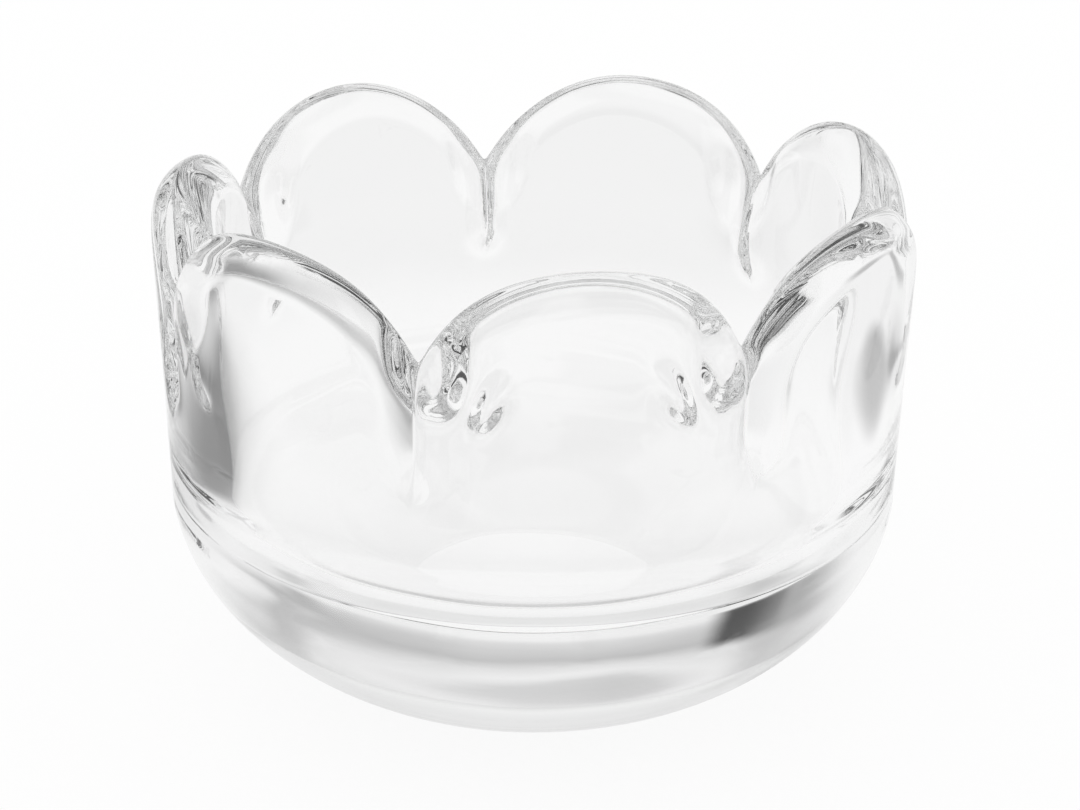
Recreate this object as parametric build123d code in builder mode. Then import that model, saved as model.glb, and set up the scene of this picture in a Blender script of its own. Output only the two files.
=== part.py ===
"""Floating candle bowl of thick clear glass: a rounded solid base with a ring of arched petals for its wall.

The real bowl is one casting. It is divided here where a glassmaker would name its regions: the base, up to
a level seat just under the grooves, and the petals that stand on that seat, side by side, face to face.
Millimetres, +Z up. The origin is the middle of the foot, and petal_1 faces -Y.
"""
import os
from math import asin, cos, degrees, radians, sin, sqrt, tan

from build123d import *

# Driving dimensions of the outside
petal_count = 7
overall_height = 79.6
rim_radius = 55.0
wall_lean = 0.8
equator_height = 33.0
foot_radius = 21.5

# Driving dimensions of the hollow
wall_thickness = 9.7
base_thickness = 19.0
floor_radius = 95.0
floor_fillet = 9.0

# Driving dimensions of the petals: drops are measured down from the crest
notch_drop = 14.3
groove_drop = 33.6
seat_margin = 1.0
outer_round = 4.2
rim_flat = 0.5
crease_drop = 29.2
crease_depth = 2.6
crease_half_width = 2.8

# The underside is a quarter ellipse that the foot cuts off flat, and the wall leans out a little above it
equator_radius = rim_radius - wall_lean
belly_depth = equator_height / sqrt(1 - (foot_radius / equator_radius) ** 2)
foot_angle = degrees(asin(equator_height / belly_depth))
wall_draft = wall_lean / (overall_height - equator_height)
seat_height = overall_height - groove_drop - seat_margin
seat_radius = equator_radius + wall_draft * (seat_height - equator_height)

# The hollow is a straight bore with a dished floor
bore_radius = rim_radius - wall_thickness
floor_edge_height = base_thickness + floor_radius - sqrt(floor_radius**2 - bore_radius**2)

# The edge of a petal is rounded inside and out, and a narrow crest is left between the two roundings
inner_round = seat_radius - bore_radius - rim_flat - outer_round
crest_radius = rim_radius - outer_round - rim_flat / 2

# A petal's outline, laid flat, is an arch on two flaring sides. It meets the next outline at the notch, and
# the sides flare so far that the larger rounding has left the wall where the groove between petals ends.
petal_angle = 360 / petal_count
notch_half_width = crest_radius * radians(petal_angle / 2)
side_flare = asin(max(outer_round, inner_round) / (groove_drop - notch_drop))
arch_radius = (notch_half_width * cos(side_flare) - notch_drop * sin(side_flare)) / (1 - sin(side_flare))
arch_height = overall_height - arch_radius
shoulder_width = arch_radius * cos(side_flare)
shoulder_height = arch_height + arch_radius * sin(side_flare)
toe_width = shoulder_width + (shoulder_height - seat_height) * tan(side_flare)

# A crease is pressed into the outside at each seam: a groove of two flat flanks with a cone for its lower end
crease_height = overall_height - crease_drop
crease_radius = equator_radius + wall_draft * (crease_height - equator_height)
crease_clearance = crease_depth / 2
crease_flank = crease_half_width / crease_depth

# Tools that cut a petal out of the wall start inside the bore and end outside the rim
tool_start = bore_radius / 2
tool_end = rim_radius + wall_thickness
blank_height = overall_height + wall_thickness

os.makedirs("parts", exist_ok=True)

# Base: foot, belly, thick floor and lower wall
with BuildPart() as base:
    with BuildSketch(Plane.XZ) as base_profile:
        with BuildLine():
            Line((0, 0), (foot_radius, 0))
            EllipticalCenterArc(
                (0, equator_height), equator_radius, belly_depth, -foot_angle, arc_size=foot_angle
            )
            Polyline(
                (equator_radius, equator_height),
                (seat_radius, seat_height),
                (bore_radius, seat_height),
                (bore_radius, floor_edge_height),
            )
            RadiusArc((bore_radius, floor_edge_height), (0, base_thickness), floor_radius)
            Line((0, base_thickness), (0, 0))
        make_face()
        floor_corner = base_profile.vertices().sort_by_distance((bore_radius, floor_edge_height))[0]
        fillet(floor_corner, radius=floor_fillet)
    revolve(axis=Axis.Z)

base.part.label = "base"
export_step(base.part, "parts/base.step")


def petal_outline(distance):
    """Draw the petal's outline at a distance in front of the axis, where it takes up its share of the ring."""
    spread = distance * tan(radians(petal_angle / 2)) / notch_half_width
    with BuildSketch(Plane.XZ.offset(distance)) as outline:
        with BuildLine():
            EllipticalCenterArc(
                (0, arch_height),
                arch_radius * spread,
                arch_radius,
                degrees(side_flare),
                arc_size=180 - 2 * degrees(side_flare),
            )
            Polyline(
                (-shoulder_width * spread, shoulder_height),
                (-toe_width * spread, seat_height),
                (toe_width * spread, seat_height),
                (shoulder_width * spread, shoulder_height),
            )
        make_face()
    return outline.sketch


def rim_edges(wall):
    """Pick the edges of a wall face that run over the petal's arch, not the one on the seat."""
    return wall.edges().filter_by(lambda edge: edge.bounding_box().max.Z > seat_height + rim_flat)


# The tool that presses one crease, along +X
with BuildPart() as crease_tool:
    crease_bottom = crease_radius - crease_depth
    crease_mouth = crease_radius + crease_clearance
    mouth_half_width = (crease_mouth - crease_bottom) * crease_flank
    with BuildSketch(Plane.XY.offset(crease_height)):
        with BuildLine():
            Polyline(
                (crease_bottom, 0),
                (crease_mouth, mouth_half_width),
                (crease_mouth, -mouth_half_width),
                close=True,
            )
        make_face()
    extrude(amount=crease_drop - notch_drop)
    with Locations(Location(((crease_bottom + crease_mouth) / 2, 0, crease_height), (0, 90, 0))):
        Cone(bottom_radius=0, top_radius=mouth_half_width, height=crease_mouth - crease_bottom)

# One petal: a stretch of the wall, cut to the arched outline, rounded, creased, and cut to its share of the ring
with BuildPart() as petal_form:
    with BuildSketch(Plane.XZ):
        with BuildLine():
            Polyline(
                (bore_radius, seat_height),
                (seat_radius, seat_height),
                (seat_radius + wall_draft * (blank_height - seat_height), blank_height),
                (bore_radius, blank_height),
                close=True,
            )
        make_face()
    revolve(axis=Axis.Z)
    loft([petal_outline(tool_start), petal_outline(tool_end)], ruled=True, mode=Mode.INTERSECT)
    outer_wall = petal_form.faces().filter_by(GeomType.CONE)[0]
    fillet(rim_edges(outer_wall), radius=outer_round)
    inner_wall = petal_form.faces().filter_by(GeomType.CYLINDER).sort_by(Axis.Z)[0]
    fillet(rim_edges(inner_wall), radius=inner_round)
    with PolarLocations(0, 2, start_angle=-90 - petal_angle / 2, angular_range=petal_angle, endpoint=True):
        add(crease_tool.part, mode=Mode.SUBTRACT)
    with BuildSketch(Plane.XY.offset(seat_height)):
        with BuildLine():
            Polyline(
                (0, 0),
                (-tool_end * tan(radians(petal_angle / 2)), -tool_end),
                (tool_end * tan(radians(petal_angle / 2)), -tool_end),
                close=True,
            )
        make_face()
    extrude(amount=blank_height - seat_height, mode=Mode.INTERSECT)

# Petals, numbered from the front and on round the ring, seen from above against the clock
for number in range(1, petal_count + 1):
    with BuildPart() as petal:
        add(petal_form.part, rotation=(0, 0, (number - 1) * petal_angle))
    petal.part.label = f"petal_{number}"
    export_step(petal.part, f"parts/petal_{number}.step")
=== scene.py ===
"""Floating candle bowl of thick clear glass, lit and seen as in its portrait.

The bowl is one casting, so one unbroken glass skin stands for the base and for all the petals.
Sizes are written in millimetres and become metres where a mesh is made. +Z is up, the foot stands on Z = 0,
and petal 1 faces -Y, with the other petals numbered against the clock, seen from above.
"""

import logging
import math
from dataclasses import dataclass
from enum import Enum
from typing import Any

import bmesh
import bpy
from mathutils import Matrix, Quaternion, Vector


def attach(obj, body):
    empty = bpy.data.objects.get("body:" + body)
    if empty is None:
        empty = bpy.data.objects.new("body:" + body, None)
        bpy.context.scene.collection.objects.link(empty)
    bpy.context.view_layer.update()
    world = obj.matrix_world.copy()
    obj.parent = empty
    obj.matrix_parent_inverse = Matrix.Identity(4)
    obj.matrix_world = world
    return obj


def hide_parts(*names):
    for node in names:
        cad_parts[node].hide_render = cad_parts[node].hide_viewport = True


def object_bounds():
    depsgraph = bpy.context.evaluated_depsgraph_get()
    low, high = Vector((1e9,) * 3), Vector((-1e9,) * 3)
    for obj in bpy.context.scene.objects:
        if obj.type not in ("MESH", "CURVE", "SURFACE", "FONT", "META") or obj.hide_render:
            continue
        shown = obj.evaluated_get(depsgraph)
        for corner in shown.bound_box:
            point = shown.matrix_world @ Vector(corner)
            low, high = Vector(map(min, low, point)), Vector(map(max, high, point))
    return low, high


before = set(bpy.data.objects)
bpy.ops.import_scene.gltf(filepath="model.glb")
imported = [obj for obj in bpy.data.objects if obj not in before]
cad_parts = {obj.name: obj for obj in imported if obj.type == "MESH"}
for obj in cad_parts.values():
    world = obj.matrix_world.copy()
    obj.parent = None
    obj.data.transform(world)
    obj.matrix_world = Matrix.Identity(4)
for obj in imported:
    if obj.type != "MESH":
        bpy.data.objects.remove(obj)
CAD_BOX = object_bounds()

LOG = logging.getLogger("candle_bowl")
MILLIMETRE = 0.001
QUARTER_TURN = math.pi / 2
SMOOTH = {"interpolation_type": "SMOOTHSTEP"}

Colour = tuple[float, float, float, float]
Point = tuple[float, float]
Socket = bpy.types.NodeSocket
Tree = bpy.types.NodeTree


def linear(hex_colour: str) -> Colour:
    """Turn an sRGB hex colour into linear light.

    Args:
        hex_colour: Six hex digits, as "f4f6f5".

    Returns:
        Red, green, blue and a full alpha.
    """
    shares = [int(hex_colour[place : place + 2], 16) / 255 for place in (0, 2, 4)]
    red, green, blue = (
        share / 12.92 if share <= 0.04045 else ((share + 0.055) / 1.055) ** 2.4 for share in shares
    )
    return red, green, blue, 1.0


def grey(level: float) -> Colour:
    """Give a neutral linear colour of one level."""
    return level, level, level, 1.0


def add_node(
    tree: Tree,
    kind: str,
    settings: dict[str, Any] | None = None,
    values: dict[str | int, Any] | None = None,
    links: dict[str | int, Socket] | None = None,
) -> bpy.types.Node:
    """Add a node with its settings, socket values and incoming links.

    Args:
        tree: Node tree that takes the node.
        kind: Blender's name for the kind of node.
        settings: Properties of the node itself.
        values: Constant values of its input sockets.
        links: Output sockets that feed its input sockets.

    Returns:
        The new node.
    """
    node = tree.nodes.new(kind)
    for name, value in (settings or {}).items():
        setattr(node, name, value)
    for socket, value in (values or {}).items():
        node.inputs[socket].default_value = value
    for socket, source in (links or {}).items():
        tree.links.new(source, node.inputs[socket])
    return node


def evenly(start: float, stop: float, count: int) -> list[float]:
    """Spread values evenly from start to just short of stop.

    Args:
        start: First value.
        stop: Value that the next stretch starts with.
        count: How many values there are.

    Returns:
        The values, in order.
    """
    return [start + (stop - start) * step / count for step in range(count)]


def ease(share: float) -> float:
    """Rise smoothly from 0 to 1 as the share does, and stay level outside."""
    held = min(1.0, max(0.0, share))
    return held * held * (3 - 2 * held)


def merge(first: float, second: float, blend: float) -> float:
    """Take the larger of two depths, with a soft passage where they are nearly alike.

    Args:
        first: One depth.
        second: The other depth.
        blend: How far apart the depths are where the passage ends.

    Returns:
        The merged depth.
    """
    near = max(0.0, 1 - abs(first - second) / blend)
    return max(first, second) + near * near * blend / 4


class Skin(Enum):
    """The two skins of the wall."""

    OUTER = "outer"
    INNER = "inner"


@dataclass(frozen=True)
class Crease:
    """A crease with a round end that runs down the seam between two petals, in millimetres."""

    half_width: float
    depth: float
    top_height: float
    end_height: float
    end_reach: float

    def sink(self, from_seam: float, height: float) -> float:
        """Tell how deep the skin is pressed in.

        Args:
            from_seam: Distance along the skin from the seam.
            height: Height above the foot.

        Returns:
            The depth at that point, 0 outside the crease.
        """
        beyond = max(0.0, self.end_height - height, height - self.top_height)
        share = min(1.0, math.hypot(from_seam / self.half_width, beyond / self.end_reach))
        return self.depth * (1 - share) ** 2


@dataclass(frozen=True)
class PressMark:
    """A soft oval dent in the inner skin beside a seam, in millimetres, tilted from the seam in degrees."""

    from_seam: float
    height: float
    half_width: float
    half_height: float
    depth: float
    tilt: float

    def sink(self, from_seam: float, height: float) -> float:
        """Tell how deep the mark is.

        Args:
            from_seam: Distance along the skin from the seam.
            height: Height above the foot.

        Returns:
            The depth at that point, 0 outside the mark.
        """
        lean = math.radians(self.tilt)
        out, up = from_seam - self.from_seam, height - self.height
        across = (out * math.cos(lean) - up * math.sin(lean)) / self.half_width
        along = (out * math.sin(lean) + up * math.cos(lean)) / self.half_height
        share = min(1.0, math.hypot(across, along))
        return self.depth * (0.5 + 0.5 * math.cos(math.pi * share))


# A column of the wall: the distance from the petal's middle, and that petal's own marks
Column = tuple[float, tuple[PressMark, ...]]
MIDDLE: Column = (0.0, ())


@dataclass(frozen=True)
class EdgeRound:
    """How one skin turns from the plain wall to a petal's crest.

    The reach is measured down the wall, and the fade is how far below the notch the edge runs out along the
    seam, both in millimetres. A fullness of 2 is a plain ellipse, and towards 1 the edge flattens into a
    bevel with soft corners.
    """

    reach: float
    fade: float
    fullness: float

    def at(self, turn: float) -> Point:
        """Follow the edge from the wall to the crest.

        Args:
            turn: Angle turned through, from 0 on the wall to a right angle on the crest.

        Returns:
            The distance from the outline, and the share of the thickness that is used up.
        """
        power = 2 / self.fullness
        climbed = math.sin(turn) ** power
        left = max(0.0, math.cos(turn)) ** power
        return self.reach * (1 - climbed), 1 - left


@dataclass(frozen=True)
class PetalOutline:
    """The outline of a petal laid flat: an arch on two flaring sides, in millimetres."""

    crest_height: float
    half_width: float
    notch_drop: float
    flare: float
    seam_softness: float = 0.35
    halvings: int = 48

    @property
    def arch_radius(self) -> float:
        """Radius of the arch that meets the next petal's arch at the notch."""
        lean = math.sin(self.flare)
        return (self.half_width * math.cos(self.flare) - self.notch_drop * lean) / (1 - lean)

    def depth(self, across: float, height: float) -> float:
        """Measure how far a point lies inside the outline.

        Args:
            across: Distance along the wall from the petal's middle.
            height: Height above the foot.

        Returns:
            The distance from the outline, negative outside it.
        """
        from_seam = math.hypot(self.half_width - abs(across), self.seam_softness)
        side = self.half_width - from_seam
        rise = height - (self.crest_height - self.arch_radius)
        if rise > side * math.tan(self.flare):
            return self.arch_radius - math.hypot(side, rise)
        return self.arch_radius - (side * math.cos(self.flare) + rise * math.sin(self.flare))

    def height_at(self, across: float, depth: float) -> float:
        """Find the height at which a point lies at a depth inside the outline.

        Args:
            across: Distance along the wall from the petal's middle.
            depth: Distance from the outline.

        Returns:
            The height above the foot.
        """
        low, high = 0.0, self.crest_height + 1.0
        for _ in range(self.halvings):
            middle = (low + high) / 2
            if self.depth(across, middle) > depth:
                low = middle
            else:
                high = middle
        return low


@dataclass(frozen=True)
class PetalTouch:
    """How pressing and fire polishing left one petal different from its neighbours.

    The turn is that of the notch after the petal, in degrees, and the lift is that notch's, in millimetres.
    The drop is that of the petal's crest. The marks lie at both ends of the petal.
    """

    turn: float = 0.0
    lift: float = 0.0
    drop: float = 0.0
    marks: tuple[PressMark, ...] = ()


@dataclass(frozen=True)
class Wave:
    """One wave of the polished skin: swells round the bowl, radians per millimetre climbed, start, share."""

    swells: int
    climb: float
    start: float
    share: float

    def at(self, angle: float, height: float) -> float:
        """Give the wave's part of the waver at an angle round the axis and a height."""
        return self.share * math.sin(self.swells * angle + self.climb * height + self.start)


@dataclass(frozen=True)
class PressedGlass:
    """Clear soda-lime glass, pressed in a mould and fire-polished.

    The eye sees no colour, only what lies behind, bent; a skin that wavers a little, as polished glass does;
    and a faint grey cast where the sight line runs far inside the casting.
    """

    tint: str = "ffffff"
    cast: str = "dcdedd"
    ior: float = 1.52
    cast_density: float = 0.5
    waver_length: float = 11.0
    waver_depth: float = 0.010

    def material(self) -> bpy.types.Material:
        """Make the glass.

        Returns:
            The material.
        """
        material = bpy.data.materials.new("pressed_clear_glass")
        material.use_nodes = True
        tree = material.node_tree
        output = tree.nodes["Material Output"]
        shader = tree.nodes["Principled BSDF"]
        shader.inputs["Base Color"].default_value = linear(self.tint)
        shader.inputs["Transmission Weight"].default_value = 1.0
        shader.inputs["IOR"].default_value = self.ior
        shader.inputs["Roughness"].default_value = 0.0

        # A slow swell of the skin, about 11 mm long and a hundredth of a millimetre deep
        place = add_node(tree, "ShaderNodeTexCoord").outputs["Object"]
        waver = add_node(
            tree,
            "ShaderNodeTexNoise",
            values={"Scale": 1 / (self.waver_length * MILLIMETRE), "Detail": 1.0, "Roughness": 0.4},
            links={"Vector": place},
        )
        bump = add_node(
            tree,
            "ShaderNodeBump",
            values={"Strength": 1.0, "Distance": self.waver_depth * MILLIMETRE},
            links={"Height": waver.outputs["Fac"]},
        )
        tree.links.new(bump.outputs["Normal"], shader.inputs["Normal"])
        body = add_node(
            tree,
            "ShaderNodeVolumeAbsorption",
            values={"Color": linear(self.cast), "Density": self.cast_density},
        )
        tree.links.new(body.outputs["Volume"], output.inputs["Volume"])
        return material


@dataclass
class GlassBowl:
    """The casting: a round solid base under a wall of arched petals, in millimetres."""

    petals: tuple[PetalTouch, ...]
    height: float
    rim_radius: float = 55.0
    equator_radius: float = 54.2
    equator_height: float = 33.0
    foot_radius: float = 21.5
    wall: float = 9.7
    floor_thickness: float = 19.0
    floor_radius: float = 95.0
    floor_fillet: float = 9.0

    # Edges, notches and what lies beside them
    outer_round: float = 4.2
    outer_edge: EdgeRound = EdgeRound(reach=4.8, fade=19.0, fullness=1.6)
    inner_edge: EdgeRound = EdgeRound(reach=5.6, fade=13.0, fullness=1.35)
    notch_drop: float = 14.3
    crease: Crease = Crease(half_width=6.0, depth=3.0, top_height=70.0, end_height=52.5, end_reach=6.0)
    crease_blend: float = 0.9
    seam_mark: PressMark = PressMark(4.2, 65.5, half_width=3.8, half_height=8.5, depth=2.4, tilt=15.0)

    # The polished skin
    ripple_outer: float = 0.04
    ripple_inner: float = 0.09
    waves: tuple[Wave, ...] = (
        Wave(5, 0.11, 0.7, 0.45),
        Wave(9, -0.23, 2.1, 0.35),
        Wave(16, 0.31, 4.0, 0.2),
    )
    finish: PressedGlass = PressedGlass()

    # Rows and columns of the mesh: the columns crowd towards the seams, and the rows towards the rim
    seam_steps: tuple[float, ...] = (
        0.0, 0.3, 0.7, 1.2, 1.9, 2.8, 3.8, 4.9, 6.0, 7.2, 8.4, 9.6, 11.0, 13.0, 15.5, 19.0,
    )
    foot_shares: tuple[float, ...] = (0.0, 0.3, 0.6, 0.85, 0.96)
    floor_shares: tuple[float, ...] = (0.85, 0.7, 0.55, 0.4, 0.25, 0.1, 0.0)
    belly_rows: int = 16
    lower_rows: int = 5
    upper_rows: int = 14
    edge_rows: int = 12
    bore_rows: int = 20
    fillet_rows: int = 10
    crease_margin: float = 1.0
    polish_levels: int = 1

    def __post_init__(self) -> None:
        """Work out what follows from the sizes."""
        self.bore_radius = self.rim_radius - self.wall
        self.crest_radius = self.rim_radius - self.outer_round
        self.half_angle = math.pi / len(self.petals)
        self.half_width = self.crest_radius * self.half_angle
        self.belly_depth = self.equator_height / math.sqrt(1 - (self.foot_radius / self.equator_radius) ** 2)

    def outline(self, edge: EdgeRound) -> PetalOutline:
        """Draw the outline whose flare lets an edge run out where it should.

        Args:
            edge: The edge of one skin.

        Returns:
            The outline for that skin.
        """
        flare = math.asin(edge.reach / edge.fade)
        return PetalOutline(self.height, self.half_width, self.notch_drop, flare)

    def wall_radius(self, height: float) -> float:
        """Give the radius of the plain outer wall, which leans out a little.

        Args:
            height: Height above the foot.

        Returns:
            The radius.
        """
        share = (height - self.equator_height) / (self.height - self.equator_height)
        return self.equator_radius + (self.rim_radius - self.equator_radius) * share

    def skin_radius(self, skin: Skin, column: Column, height: float, rounded: float) -> float:
        """Give the radius of a skin where the petal's rounding, the crease and the marks press it in.

        Args:
            skin: Which skin.
            column: Distance along the wall from the petal's middle, and that petal's own marks.
            height: Height above the foot.
            rounded: Share of the rounding that is used up, 0 on the plain wall and 1 at the crest.

        Returns:
            The radius.
        """
        across, marks = column
        from_seam = self.half_width - abs(across)
        plain = self.wall_radius(height)
        if skin is Skin.OUTER:
            sunk = min(self.crease.sink(from_seam, height), self.outer_round)
            pressed = merge(rounded * self.outer_round, sunk, self.crease_blend)
            return plain - min(self.outer_round, pressed)

        # The inner skin has no crease, so its rounding meets a plain wall, with the same soft passage
        thickness = plain - self.outer_round - self.bore_radius
        dents = sum(mark.sink(from_seam, height) for mark in (self.seam_mark, *marks))
        pressed = merge(rounded * thickness, 0.0, self.crease_blend) + (1 - rounded) * dents
        return self.bore_radius + min(thickness, pressed)

    def base_rows(self) -> list[Point]:
        """Draw the foot and the belly, out from the axis.

        Returns:
            Radius and height of each row.
        """
        rows = [(self.foot_radius * share, 0.0) for share in self.foot_shares]
        foot_turn = math.asin(self.equator_height / self.belly_depth)
        for turn in evenly(foot_turn, 0.0, self.belly_rows):
            radius = self.equator_radius * math.cos(turn)
            rows.append((radius, self.equator_height - self.belly_depth * math.sin(turn)))
        return rows

    def wall_rows(self, column: Column) -> list[Point]:
        """Draw the wall, up its outer skin, over the rim and down the inner skin.

        Args:
            column: Distance along the wall from the petal's middle, and that petal's own marks.

        Returns:
            Radius and height of each row.
        """
        across = column[0]
        outer_turns = evenly(0.0, QUARTER_TURN, self.edge_rows) + [QUARTER_TURN]
        inner_turns = evenly(QUARTER_TURN, 0.0, self.edge_rows)[1:] + [0.0]
        outer_edge = [self.outer_edge.at(turn) for turn in outer_turns]
        inner_edge = [self.inner_edge.at(turn) for turn in inner_turns]
        outer_outline, inner_outline = self.outline(self.outer_edge), self.outline(self.inner_edge)
        outer_heights = [outer_outline.height_at(across, depth) for depth, _ in outer_edge]
        inner_heights = [inner_outline.height_at(across, depth) for depth, _ in inner_edge]

        crease_end = self.crease.end_height - self.crease.end_reach - self.crease_margin
        climb = evenly(self.equator_height, crease_end, self.lower_rows)
        climb += evenly(crease_end, outer_heights[0], self.upper_rows)
        descent = evenly(inner_heights[-1], self.fillet_start[1], self.bore_rows)[1:]

        stops = [(Skin.OUTER, height, 0.0) for height in climb]
        stops += [(Skin.OUTER, height, sunk) for (_, sunk), height in zip(outer_edge, outer_heights)]
        stops += [(Skin.INNER, height, sunk) for (_, sunk), height in zip(inner_edge, inner_heights)]
        stops += [(Skin.INNER, height, 0.0) for height in descent]
        return [(self.skin_radius(skin, column, height, sunk), height) for skin, height, sunk in stops]

    @property
    def fillet_start(self) -> Point:
        """Radius and height of the centre of the fillet between the bore and the dished floor."""
        radius = self.bore_radius - self.floor_fillet
        reach = self.floor_radius - self.floor_fillet
        return radius, self.floor_thickness + self.floor_radius - math.sqrt(reach**2 - radius**2)

    def floor_rows(self) -> list[Point]:
        """Draw the fillet and the dished floor, in to the axis.

        Returns:
            Radius and height of each row.
        """
        radius, height = self.fillet_start
        reach = self.floor_fillet
        sweep = math.acos(radius / (self.floor_radius - self.floor_fillet))
        rows = []
        for turn in evenly(0.0, sweep, self.fillet_rows) + [sweep]:
            rows.append((radius + reach * math.cos(turn), height - reach * math.sin(turn)))
        edge = rows[-1][0]
        for share in self.floor_shares:
            out = edge * share
            dish = self.floor_radius - math.sqrt(self.floor_radius**2 - out**2)
            rows.append((out, self.floor_thickness + dish))
        return rows

    def section(self, column: Column) -> list[Point]:
        """Draw the whole section, from the foot over the rim to the floor.

        Args:
            column: Distance along the wall from the petal's middle, and that petal's own marks.

        Returns:
            Radius and height of each row.
        """
        return self.base_rows() + self.wall_rows(column) + self.floor_rows()

    def place(self, petal: int, across: float, point: Point, skin: Skin) -> Vector:
        """Put a point of a section where the finished casting has it.

        Args:
            petal: Number of the petal, from 0.
            across: Distance along the wall from that petal's middle.
            point: Radius and height of the even form.
            skin: Which skin the point lies on.

        Returns:
            The point in metres.
        """
        radius, height = point
        touch, before = self.petals[petal], self.petals[petal - 1]
        share = (across / self.half_width + 1) / 2
        turn = before.turn + (touch.turn - before.turn) * share
        angle = 2 * self.half_angle * petal + across / self.crest_radius + math.radians(turn)

        # A notch is lifted together with the wall under it, and a crest drops together with what is near it
        middle = math.cos(math.pi * (share - 0.5)) ** 2
        lift = (before.lift if share < 0.5 else touch.lift) * (1 - middle)
        notch = self.height - self.notch_drop
        climb = ease((height - self.equator_height) / (notch - self.equator_height))
        crown = ease((height - notch + self.notch_drop) / (2 * self.notch_drop))
        moved = height + lift * climb - touch.drop * middle * crown

        # The outer skin wavers inwards only, so that it stays within the solids
        waver = sum(wave.at(angle, height) for wave in self.waves)
        ripple = self.ripple_inner * waver if skin is Skin.INNER else -self.ripple_outer * (1 + waver) / 2
        radius += ripple * ease(radius / self.foot_radius)
        return Vector((radius * math.sin(angle), -radius * math.cos(angle), moved)) * MILLIMETRE

    def mesh(self) -> bmesh.types.BMesh:
        """Spin the section round the axis and press the petals into it.

        Returns:
            The closed skin.
        """
        half = self.half_width
        offsets = [step - half for step in self.seam_steps] + [0.0]
        offsets += [half - step for step in reversed(self.seam_steps[1:])]
        columns = {(abs(across), touch.marks) for across in offsets for touch in self.petals}
        sections = {column: self.section(column) for column in columns}
        steps = len(offsets) * len(self.petals)
        crest_row = len(self.base_rows()) + len(self.wall_rows(MIDDLE)) // 2

        mesh = bmesh.new()
        row_layer = mesh.verts.layers.int.new("row")
        chain = []
        for row, (radius, height) in enumerate(self.section(MIDDLE)):
            vertex = mesh.verts.new((0.0, -radius * MILLIMETRE, height * MILLIMETRE))
            vertex[row_layer] = row
            chain.append(vertex)
        edges = [mesh.edges.new(pair) for pair in zip(chain, chain[1:])]
        bmesh.ops.spin(
            mesh,
            geom=chain + edges,
            cent=(0, 0, 0),
            axis=(0, 0, 1),
            dvec=(0, 0, 0),
            angle=2 * math.pi,
            steps=steps,
            use_merge=True,
        )
        step_angle = 2 * math.pi / steps
        for vertex in mesh.verts:
            row = vertex[row_layer]
            step = round(math.atan2(vertex.co.x, -vertex.co.y) / step_angle) % steps
            petal, offset = divmod(step, len(offsets))
            across = offsets[offset]
            point = sections[abs(across), self.petals[petal].marks][row]
            skin = Skin.INNER if row > crest_row else Skin.OUTER
            vertex.co = self.place(petal, across, point, skin)
        bmesh.ops.remove_doubles(mesh, verts=mesh.verts, dist=MILLIMETRE / 1000)
        bmesh.ops.recalc_face_normals(mesh, faces=mesh.faces)
        for face in mesh.faces:
            face.smooth = True
        return mesh

    def build(self) -> bpy.types.Object:
        """Make the bowl and dress it.

        Returns:
            The glass.
        """
        data = bpy.data.meshes.new("glass_bowl")
        mesh = self.mesh()
        mesh.to_mesh(data)
        mesh.free()
        glass = bpy.data.objects.new("glass_bowl", data)
        bpy.context.scene.collection.objects.link(glass)
        polish = glass.modifiers.new("polish", "SUBSURF")
        polish.levels = self.polish_levels
        polish.render_levels = self.polish_levels
        data.materials.append(self.finish.material())
        return glass


@dataclass(frozen=True)
class StudioCard:
    """A soft-edged card of one grey that stands far off round the bowl.

    Azimuth is measured from the camera's forward direction, positive to the right, in degrees, as are the
    elevation, the half sizes and the softness of the edge.
    """

    azimuth: float
    elevation: float
    half_width: float
    half_height: float
    softness: float
    level: float

    def mask(self, tree: Tree, azimuth: Socket, elevation: Socket) -> Socket:
        """Tell how much of the card a direction meets.

        Args:
            tree: Node tree of the world.
            azimuth: The direction's azimuth.
            elevation: The direction's elevation.

        Returns:
            A share, 1 on the card and 0 beside it.
        """
        masks = []
        for source, centre, half in (
            (azimuth, self.azimuth, self.half_width),
            (elevation, self.elevation, self.half_height),
        ):
            offset = add_node(tree, "ShaderNodeMath", {"operation": "SUBTRACT"}, {1: centre}, {0: source})
            wrap = {"operation": "WRAP"}
            wrapped = add_node(tree, "ShaderNodeMath", wrap, {1: 180.0, 2: -180.0}, {0: offset.outputs[0]})
            away = add_node(tree, "ShaderNodeMath", {"operation": "ABSOLUTE"}, links={0: wrapped.outputs[0]})
            reach = {"From Min": half - self.softness, "From Max": half + self.softness}
            edge = add_node(
                tree,
                "ShaderNodeMapRange",
                SMOOTH,
                {**reach, "To Min": 1.0, "To Max": 0.0},
                {"Value": away.outputs[0]},
            )
            masks.append(edge.outputs[0])
        both = {0: masks[0], 1: masks[1]}
        return add_node(tree, "ShaderNodeMath", {"operation": "MULTIPLY"}, links=both).outputs[0]


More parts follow.
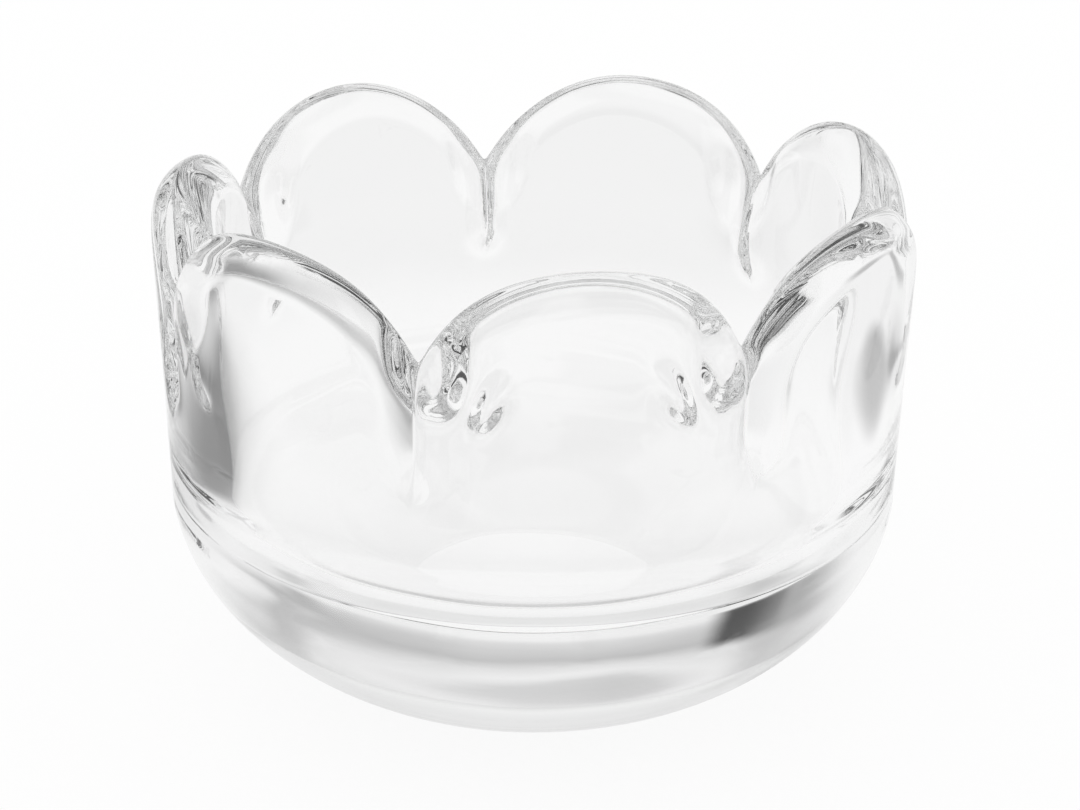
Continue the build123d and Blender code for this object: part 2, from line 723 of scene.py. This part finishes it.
@dataclass
class SoftStudio:
    """A pale room round the bowl, as glass is photographed: light walls and a few cards for its edges."""

    camera_azimuth: float

    # Elevation in degrees and level of the walls
    walls: tuple[Point, ...] = (
        (-90, 0.85), (0, 0.90), (5, 0.88), (8, 0.74), (12, 0.62), (18, 0.52), (22, 0.64), (25, 0.74),
        (29, 0.80), (33, 0.86), (36, 0.80), (40, 0.64), (46, 0.58), (60, 0.70), (90, 0.80),
    )

    # Azimuth, elevation, half width, half height, softness and level of each card
    cards: tuple[StudioCard, ...] = (
        StudioCard(-38, 11, 8, 11, 3, 0.05),
        StudioCard(-53, 10, 10, 14, 8, 0.35),
        StudioCard(-55, 26, 15, 6, 5, 0.55),
        StudioCard(40, 12, 4, 7, 4, 0.48),
        StudioCard(47, 23, 4, 7, 4, 0.48),
        StudioCard(180, 25, 120, 40, 15, 0.90),
        StudioCard(145, 30, 22, 32, 6, 0.05),
        StudioCard(-145, 30, 22, 32, 6, 0.05),
        StudioCard(0, 62, 180, 6, 4, 0.15),
    )
    bounces: int = 32

    def angles(self, tree: Tree) -> tuple[Socket, Socket]:
        """Work out where a ray goes, seen from the camera.

        Args:
            tree: Node tree of the world.

        Returns:
            The ray's azimuth and elevation, in degrees.
        """
        turn = math.radians(self.camera_azimuth)
        forward = (-math.sin(turn), math.cos(turn), 0.0)
        right = (math.cos(turn), math.sin(turn), 0.0)
        sight = add_node(tree, "ShaderNodeTexCoord").outputs["Generated"]
        dot = {"operation": "DOT_PRODUCT"}
        sideways = add_node(tree, "ShaderNodeVectorMath", dot, {1: right}, {0: sight}).outputs["Value"]
        ahead = add_node(tree, "ShaderNodeVectorMath", dot, {1: forward}, {0: sight}).outputs["Value"]
        height = add_node(tree, "ShaderNodeSeparateXYZ", links={0: sight}).outputs["Z"]
        around = add_node(tree, "ShaderNodeMath", {"operation": "ARCTAN2"}, links={0: sideways, 1: ahead})
        climb = add_node(tree, "ShaderNodeMath", {"operation": "ARCSINE"}, links={0: height})
        degrees = {"operation": "DEGREES"}
        azimuth = add_node(tree, "ShaderNodeMath", degrees, links={0: around.outputs[0]})
        elevation = add_node(tree, "ShaderNodeMath", degrees, links={0: climb.outputs[0]})
        return azimuth.outputs[0], elevation.outputs[0]

    def wall_colour(self, tree: Tree, elevation: Socket) -> Socket:
        """Shade the walls by elevation.

        Args:
            tree: Node tree of the world.
            elevation: The ray's elevation.

        Returns:
            The colour of the walls.
        """
        share = add_node(
            tree,
            "ShaderNodeMapRange",
            values={"From Min": -90.0, "From Max": 90.0},
            links={"Value": elevation},
        )
        ramp = add_node(tree, "ShaderNodeValToRGB", links={0: share.outputs[0]})
        stops = ramp.color_ramp.elements
        stops[0].color = grey(self.walls[0][1])
        stops[1].color = grey(self.walls[-1][1])
        for angle, level in self.walls[1:-1]:
            stops.new((angle + 90) / 180).color = grey(level)
        return ramp.outputs[0]

    def build(self) -> None:
        """Make the world: white to the camera, and walls and cards to what the glass bends or mirrors."""
        scene = bpy.context.scene
        world = bpy.data.worlds.new("soft_studio")
        scene.world = world
        world.use_nodes = True
        tree = world.node_tree
        blend = {"data_type": "RGBA"}
        azimuth, elevation = self.angles(tree)
        colour = self.wall_colour(tree, elevation)
        for card in self.cards:
            mask = card.mask(tree, azimuth, elevation)
            mixed = add_node(tree, "ShaderNodeMix", blend, {7: grey(card.level)}, {0: mask, 6: colour})
            colour = mixed.outputs[2]
        path = add_node(tree, "ShaderNodeLightPath")
        plain = add_node(
            tree,
            "ShaderNodeMath",
            {"operation": "MAXIMUM"},
            links={0: path.outputs["Is Camera Ray"], 1: path.outputs["Is Diffuse Ray"]},
        )
        seen = add_node(tree, "ShaderNodeMix", blend, {7: grey(1.0)}, {0: plain.outputs[0], 6: colour})
        tree.links.new(seen.outputs[2], tree.nodes["Background"].inputs["Color"])
        scene.cycles.max_bounces = self.bounces
        scene.cycles.transmission_bounces = self.bounces
        scene.cycles.glossy_bounces = self.bounces


@dataclass(frozen=True)
class FloorShade:
    """A soft round painted shade on the paper, in metres to the right of the bowl and behind it, for the
    camera.
    """

    right: float
    behind: float
    core: float
    reach: float
    level: float

    def cover(self, tree: Tree, place: Socket, camera_azimuth: float) -> Socket:
        """Tell how much light the shade leaves at a place.

        Args:
            tree: Node tree of the paper.
            place: The place on the paper.
            camera_azimuth: The camera's azimuth, in degrees.

        Returns:
            A share, the shade's level at its core and 1 beyond its reach.
        """
        turn = math.radians(camera_azimuth)
        centre = (
            self.right * math.cos(turn) - self.behind * math.sin(turn),
            self.right * math.sin(turn) + self.behind * math.cos(turn),
            0.0,
        )
        away = add_node(tree, "ShaderNodeVectorMath", {"operation": "DISTANCE"}, {1: centre}, {0: place})
        cover = add_node(
            tree,
            "ShaderNodeMapRange",
            SMOOTH,
            {"From Min": self.core, "From Max": self.reach, "To Min": self.level, "To Max": 1.0},
            {"Value": away.outputs["Value"]},
        )
        return cover.outputs[0]


@dataclass
class PaleFloor:
    """A sheet of white paper under the bowl, which keeps a faint shadow, in metres."""

    camera_azimuth: float
    size: float = 8.0
    paper: str = "ffffff"
    shadow_share: float = 0.08
    # Painted shade on the paper that the glass sees: lighter near the bowl, darker far off
    near_level: float = 0.95
    far_level: float = 0.88
    near_reach: float = 0.155
    far_reach: float = 0.205

    # To the right, behind, core, reach and level of each painted shade
    shades: tuple[FloorShade, ...] = (
        FloorShade(-0.150, 0.040, 0.030, 0.085, 0.20),
        FloorShade(0.150, 0.090, 0.008, 0.036, 0.40),
    )

    def painted_glass_level(self, tree: Tree) -> Socket:
        """Give the paper's level as the glass bends it: painted shade, falling off into the room.

        Args:
            tree: Node tree of the paper.

        Returns:
            The level.
        """
        place = add_node(tree, "ShaderNodeTexCoord").outputs["Object"]
        out = add_node(tree, "ShaderNodeVectorMath", {"operation": "LENGTH"}, links={0: place})
        reach = {"From Min": self.near_reach, "From Max": self.far_reach}
        fall = add_node(
            tree,
            "ShaderNodeMapRange",
            SMOOTH,
            {**reach, "To Min": self.near_level, "To Max": self.far_level},
            {"Value": out.outputs["Value"]},
        )
        level = fall.outputs[0]
        for shade in self.shades:
            both = {0: level, 1: shade.cover(tree, place, self.camera_azimuth)}
            level = add_node(tree, "ShaderNodeMath", {"operation": "MULTIPLY"}, links=both).outputs[0]
        return level

    def material(self) -> bpy.types.Material:
        """Make the paper: smooth white card stock, plain white with a faint shadow, and painted shade to the
        glass.

        Returns:
            The material.
        """
        material = bpy.data.materials.new("white_paper")
        material.use_nodes = True
        tree = material.node_tree
        shader = tree.nodes["Principled BSDF"]
        shader.inputs["Base Color"].default_value = linear(self.paper)
        shader.inputs["Roughness"].default_value = 1.0
        shader.inputs["Specular IOR Level"].default_value = 0.0
        bent = self.painted_glass_level(tree)
        path = add_node(tree, "ShaderNodeLightPath")
        camera = path.outputs["Is Camera Ray"]
        level = add_node(tree, "ShaderNodeMix", values={3: 1.0}, links={0: camera, 2: bent})
        glow = add_node(tree, "ShaderNodeEmission", links={"Strength": level.outputs[0]})

        # The camera sees plain white and the glass painted shade; the rest of it takes the bowl's shadow
        larger = {"operation": "MAXIMUM"}
        glass_rays = {0: path.outputs["Is Glossy Ray"], 1: path.outputs["Is Transmission Ray"]}
        mirrored = add_node(tree, "ShaderNodeMath", larger, links=glass_rays)
        seen = add_node(tree, "ShaderNodeMath", larger, links={0: camera, 1: mirrored.outputs[0]})
        share = add_node(
            tree,
            "ShaderNodeMath",
            {"operation": "MULTIPLY"},
            {1: 1 - self.shadow_share},
            {0: seen.outputs[0]},
        )
        mixed = add_node(
            tree,
            "ShaderNodeMixShader",
            links={0: share.outputs[0], 1: shader.outputs[0], 2: glow.outputs[0]},
        )
        tree.links.new(mixed.outputs[0], tree.nodes["Material Output"].inputs["Surface"])
        return material

    def build(self) -> bpy.types.Object:
        """Lay the sheet.

        Returns:
            The floor.
        """
        mesh = bmesh.new()
        bmesh.ops.create_grid(mesh, x_segments=1, y_segments=1, size=self.size / 2)
        data = bpy.data.meshes.new("floor")
        mesh.to_mesh(data)
        mesh.free()
        data.materials.append(self.material())
        floor = bpy.data.objects.new("floor", data)
        bpy.context.scene.collection.objects.link(floor)
        return floor


@dataclass
class PortraitCamera:
    """A camera where the portrait was taken from, in degrees and millimetres."""

    azimuth: float = -8.86
    elevation: float = 22.85
    distance: float = 306.7
    roll: float = 0.61
    aim_right: float = 0.94
    aim_height: float = 40.9
    lens: float = 68.2
    sensor: float = 36.0
    clip_start: float = 10.0

    def build(self) -> bpy.types.Object:
        """Set up the camera.

        Returns:
            The camera.
        """
        turn, tilt = math.radians(self.azimuth), math.radians(self.elevation)
        flat = math.cos(tilt)
        back = Vector((math.sin(turn) * flat, -math.cos(turn) * flat, math.sin(tilt)))
        right = Vector((math.cos(turn), math.sin(turn), 0.0))
        aim = right * self.aim_right + Vector((0.0, 0.0, self.aim_height))
        data = bpy.data.cameras.new("portrait_camera")
        data.sensor_width = self.sensor
        data.lens = self.lens
        data.clip_start = self.clip_start * MILLIMETRE
        camera = bpy.data.objects.new("portrait_camera", data)
        camera.location = (aim + back * self.distance) * MILLIMETRE
        camera.rotation_mode = "QUATERNION"
        level = (-back).to_track_quat("-Z", "Y")
        camera.rotation_quaternion = Quaternion(back, math.radians(self.roll)) @ level
        bpy.context.scene.collection.objects.link(camera)
        bpy.context.scene.camera = camera
        return camera


def main() -> None:
    """Build the camera, the studio, the floor and the bowl in order, and report the bowl."""
    logging.basicConfig(level=logging.INFO, format="%(name)s: %(message)s")
    bpy.context.scene.view_settings.view_transform = "Standard"
    camera = PortraitCamera()
    camera.build()
    SoftStudio(camera.azimuth).build()
    PaleFloor(camera.azimuth).build()

    # Petals as the portrait shows them: not quite even, as fire polishing leaves them, with a marked front
    drop_mark = PressMark(3.4, 62.0, half_width=3.4, half_height=5.5, depth=2.6, tilt=0.0)
    worm_mark = PressMark(9.5, 60.5, half_width=2.6, half_height=6.0, depth=2.6, tilt=30.0)
    touches = (
        PetalTouch(turn=-3.1, lift=1.6, marks=(drop_mark, worm_mark)),
        PetalTouch(),
        PetalTouch(turn=-3.0, lift=0.8),
        PetalTouch(turn=1.2, lift=-1.0),
        PetalTouch(turn=4.0),
        PetalTouch(drop=2.4),
        PetalTouch(turn=0.5, lift=1.0, drop=0.6),
    )
    bowl = GlassBowl(touches, height=CAD_BOX[1][2] / MILLIMETRE)
    glass = bowl.build()
    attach(glass, "root")
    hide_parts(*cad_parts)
    LOG.info("%s: %d faces before polishing", glass.name, len(glass.data.polygons))


if __name__ == "__main__":
    main()
